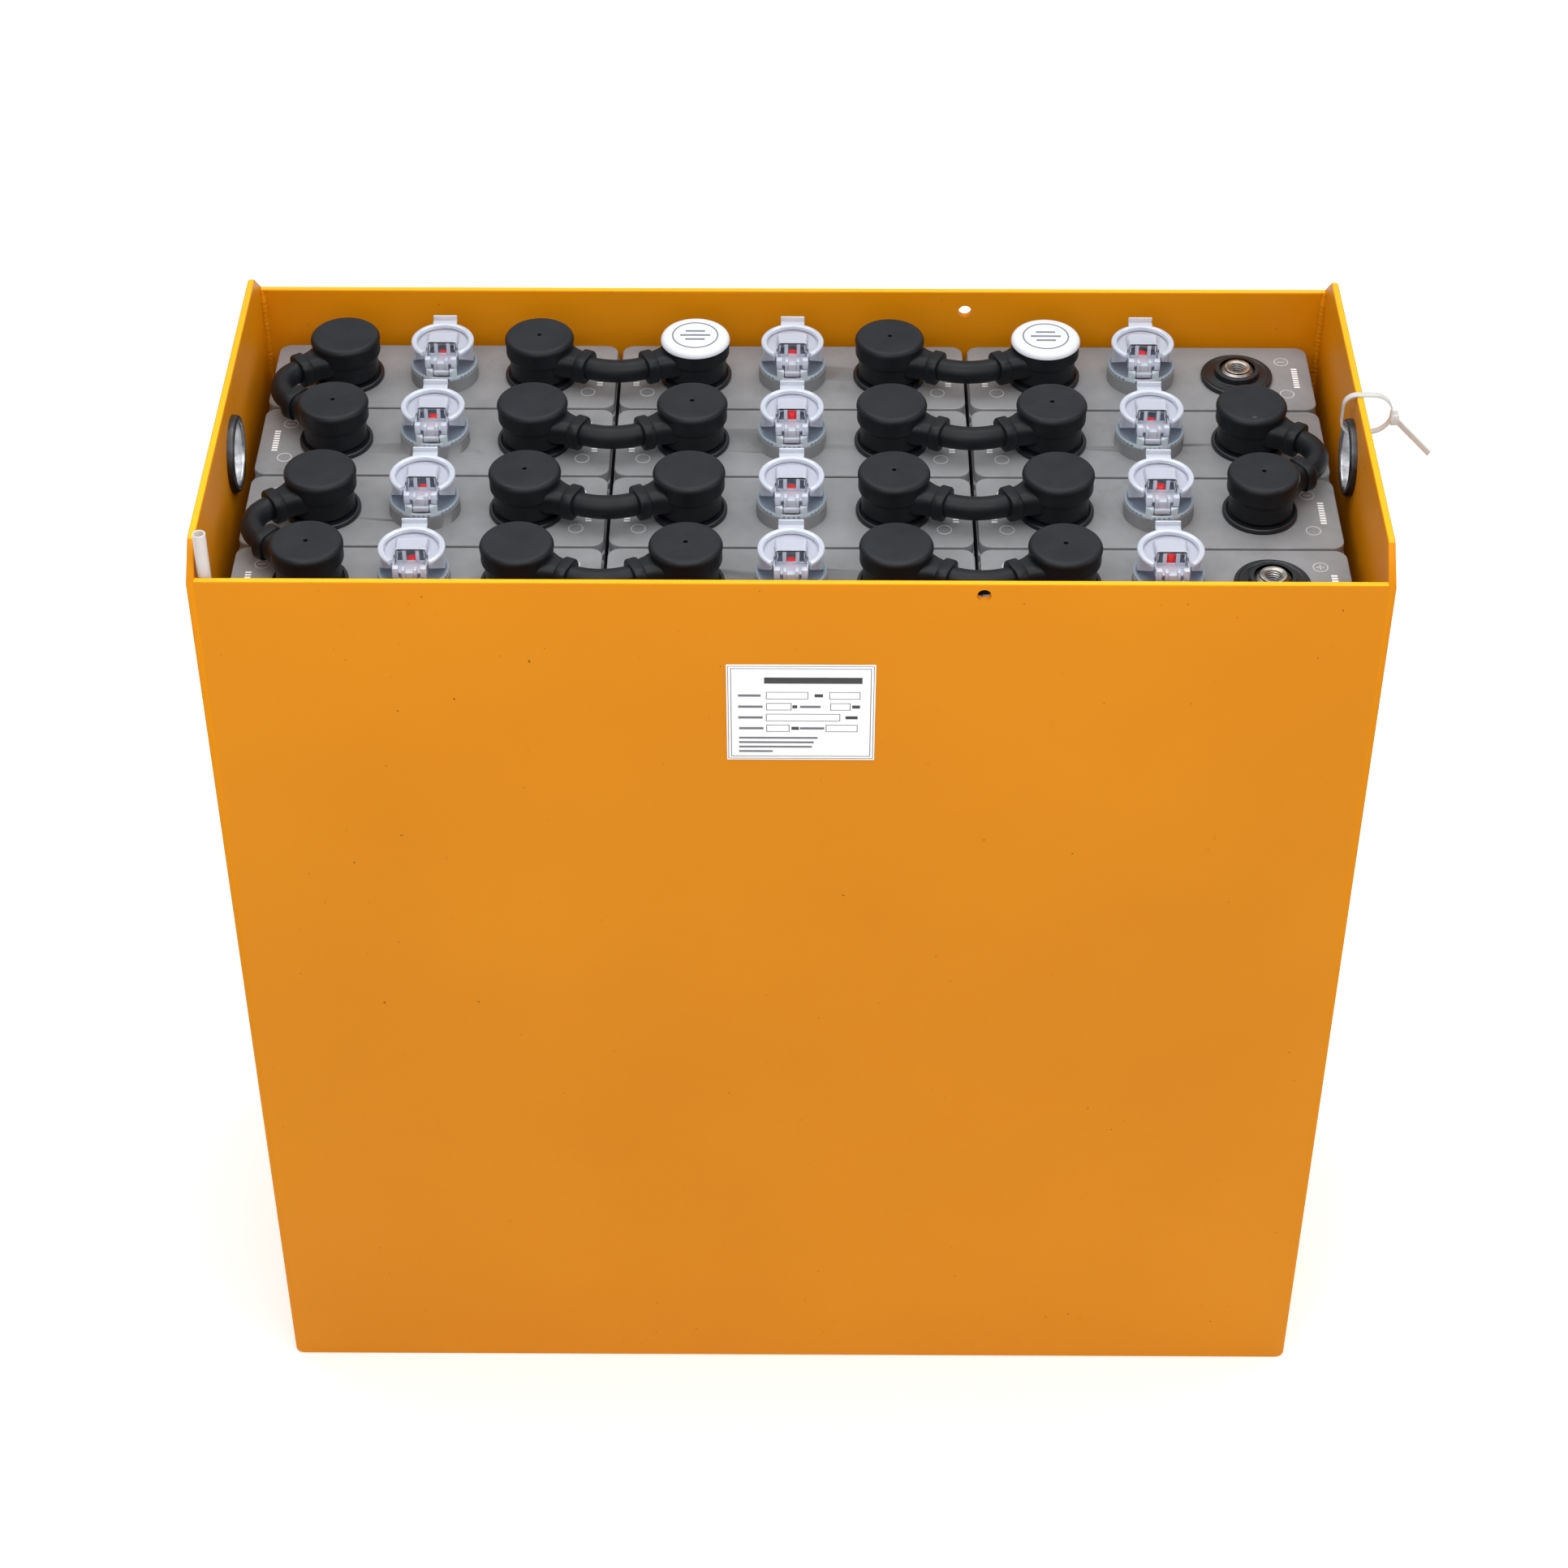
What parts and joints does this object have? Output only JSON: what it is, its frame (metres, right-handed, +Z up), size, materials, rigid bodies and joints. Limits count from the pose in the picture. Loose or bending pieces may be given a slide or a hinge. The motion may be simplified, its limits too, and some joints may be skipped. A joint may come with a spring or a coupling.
{
  "type": "forklift traction battery",
  "caption": "Lead-acid traction battery for a forklift truck: linked cells with flip-lid vent plugs in an open-topped steel tray with lifting eyes.",
  "frame": {"origin": "middle of the tray's underside", "axes": "+Z up, X along the tray's long side with the open terminals at +X, the front wall at -Y"},
  "size_m": [0.6611, 0.284, 0.636],
  "materials": {
    "tray_paint": "orange powder coat, slightly glossy",
    "zinc_steel": "zinc plated, dulled",
    "tube_plastic": "milky polyethylene",
    "tie_nylon": "natural nylon",
    "plug_plastic": "translucent pale blue-grey",
    "lead_plates": "dull lead",
    "lead_poles": "bright-cut lead, stained",
    "seal_rubber": "black, satin",
    "bolt_steel": "zinc plated",
    "cap_black": "black, satin",
    "cap_white": "white, satin",
    "cell_plastic": "mid grey polypropylene, lightly stained",
    "clear_plastic": "clear, bright edges",
    "float_red": "red",
    "link_rubber": "black moulded sheath"
  },
  "bodies": {
    "battery": {"tray_channel": "tray_paint", "tray_front_plate": "tray_paint", "tray_back_plate": "tray_paint", "lifting_eyes": "zinc_steel", "suction_tube": "tube_plastic", "cable_tie": "tie_nylon", "vent_bodies": "plug_plastic", "plate_packs": "lead_plates", "poles": "lead_poles", "pole_seals": "seal_rubber", "link_bolts": "bolt_steel", "black_caps": "cap_black", "white_caps": "cap_white", "cell_01": "cell_plastic", "cell_02": "cell_plastic", "cell_03": "cell_plastic", "cell_04": "cell_plastic", "cell_05": "cell_plastic", "cell_06": "cell_plastic", "cell_07": "cell_plastic", "cell_08": "cell_plastic", "cell_09": "cell_plastic", "cell_10": "cell_plastic", "cell_11": "cell_plastic", "cell_12": "cell_plastic", "link_01": "link_rubber", "link_02": "link_rubber", "link_03": "link_rubber", "link_04": "link_rubber", "link_05": "link_rubber", "link_06": "link_rubber", "link_07": "link_rubber", "link_08": "link_rubber", "link_09": "link_rubber", "link_10": "link_rubber", "link_11": "link_rubber"},
    "lid_01": {"vent_lid_01": "clear_plastic"},
    "gauge_01": {"float_01": "float_red"},
    "lid_02": {"vent_lid_02": "clear_plastic"},
    "gauge_02": {"float_02": "float_red"},
    "lid_03": {"vent_lid_03": "clear_plastic"},
    "gauge_03": {"float_03": "float_red"},
    "lid_04": {"vent_lid_04": "clear_plastic"},
    "gauge_04": {"float_04": "float_red"},
    "lid_05": {"vent_lid_05": "clear_plastic"},
    "gauge_05": {"float_05": "float_red"},
    "lid_06": {"vent_lid_06": "clear_plastic"},
    "gauge_06": {"float_06": "float_red"},
    "lid_07": {"vent_lid_07": "clear_plastic"},
    "gauge_07": {"float_07": "float_red"},
    "lid_08": {"vent_lid_08": "clear_plastic"},
    "gauge_08": {"float_08": "float_red"},
    "lid_09": {"vent_lid_09": "clear_plastic"},
    "gauge_09": {"float_09": "float_red"},
    "lid_10": {"vent_lid_10": "clear_plastic"},
    "gauge_10": {"float_10": "float_red"},
    "lid_11": {"vent_lid_11": "clear_plastic"},
    "gauge_11": {"float_11": "float_red"},
    "lid_12": {"vent_lid_12": "clear_plastic"},
    "gauge_12": {"float_12": "float_red"}
  },
  "joints": [
    {"name": "vent_lid_hinge_01", "type": "hinge", "parent": "battery", "child": "lid_01", "pos_m": [0.2, -0.115, 0.5912], "axis": [1, 0, 0], "range_deg": [0, 105]},
    {"name": "float_slide_01", "type": "slide", "parent": "battery", "child": "gauge_01", "axis": [0, 0, 1], "range_m": [-0.0075, 0.0005]},
    {"name": "vent_lid_hinge_02", "type": "hinge", "parent": "battery", "child": "lid_02", "pos_m": [0, -0.115, 0.5912], "axis": [1, 0, 0], "range_deg": [0, 105]},
    {"name": "float_slide_02", "type": "slide", "parent": "battery", "child": "gauge_02", "axis": [0, 0, 1], "range_m": [-0.003, 0.005]},
    {"name": "vent_lid_hinge_03", "type": "hinge", "parent": "battery", "child": "lid_03", "pos_m": [-0.2, -0.115, 0.5912], "axis": [1, 0, 0], "range_deg": [0, 105]},
    {"name": "float_slide_03", "type": "slide", "parent": "battery", "child": "gauge_03", "axis": [0, 0, 1], "range_m": [-0.0035, 0.0045]},
    {"name": "vent_lid_hinge_04", "type": "hinge", "parent": "battery", "child": "lid_04", "pos_m": [-0.2, -0.049, 0.5912], "axis": [1, 0, 0], "range_deg": [0, 105]},
    {"name": "float_slide_04", "type": "slide", "parent": "battery", "child": "gauge_04", "axis": [0, 0, 1], "range_m": [-0.0025, 0.0055]},
    {"name": "vent_lid_hinge_05", "type": "hinge", "parent": "battery", "child": "lid_05", "pos_m": [0, -0.049, 0.5912], "axis": [1, 0, 0], "range_deg": [0, 105]},
    {"name": "float_slide_05", "type": "slide", "parent": "battery", "child": "gauge_05", "axis": [0, 0, 1], "range_m": [-0.003, 0.005]},
    {"name": "vent_lid_hinge_06", "type": "hinge", "parent": "battery", "child": "lid_06", "pos_m": [0.2, -0.049, 0.5912], "axis": [1, 0, 0], "range_deg": [0, 105]},
    {"name": "float_slide_06", "type": "slide", "parent": "battery", "child": "gauge_06", "axis": [0, 0, 1], "range_m": [-0.0045, 0.0035]},
    {"name": "vent_lid_hinge_07", "type": "hinge", "parent": "battery", "child": "lid_07", "pos_m": [0.2, 0.017, 0.5912], "axis": [1, 0, 0], "range_deg": [0, 105]},
    {"name": "float_slide_07", "type": "slide", "parent": "battery", "child": "gauge_07", "axis": [0, 0, 1], "range_m": [-0.0025, 0.0055]},
    {"name": "vent_lid_hinge_08", "type": "hinge", "parent": "battery", "child": "lid_08", "pos_m": [0, 0.017, 0.5912], "axis": [1, 0, 0], "range_deg": [0, 105]},
    {"name": "float_slide_08", "type": "slide", "parent": "battery", "child": "gauge_08", "axis": [0, 0, 1], "range_m": [-0.007, 0.001]},
    {"name": "vent_lid_hinge_09", "type": "hinge", "parent": "battery", "child": "lid_09", "pos_m": [-0.2, 0.017, 0.5912], "axis": [1, 0, 0], "range_deg": [0, 105]},
    {"name": "float_slide_09", "type": "slide", "parent": "battery", "child": "gauge_09", "axis": [0, 0, 1], "range_m": [-0.0035, 0.0045]},
    {"name": "vent_lid_hinge_10", "type": "hinge", "parent": "battery", "child": "lid_10", "pos_m": [-0.2, 0.083, 0.5912], "axis": [1, 0, 0], "range_deg": [0, 105]},
    {"name": "float_slide_10", "type": "slide", "parent": "battery", "child": "gauge_10", "axis": [0, 0, 1], "range_m": [-0.0025, 0.0055]},
    {"name": "vent_lid_hinge_11", "type": "hinge", "parent": "battery", "child": "lid_11", "pos_m": [0, 0.083, 0.5912], "axis": [1, 0, 0], "range_deg": [0, 105]},
    {"name": "float_slide_11", "type": "slide", "parent": "battery", "child": "gauge_11", "axis": [0, 0, 1], "range_m": [-0.0035, 0.0045]},
    {"name": "vent_lid_hinge_12", "type": "hinge", "parent": "battery", "child": "lid_12", "pos_m": [0.2, 0.083, 0.5912], "axis": [1, 0, 0], "range_deg": [0, 105]},
    {"name": "float_slide_12", "type": "slide", "parent": "battery", "child": "gauge_12", "axis": [0, 0, 1], "range_m": [-0.0035, 0.0045]}
  ]
}
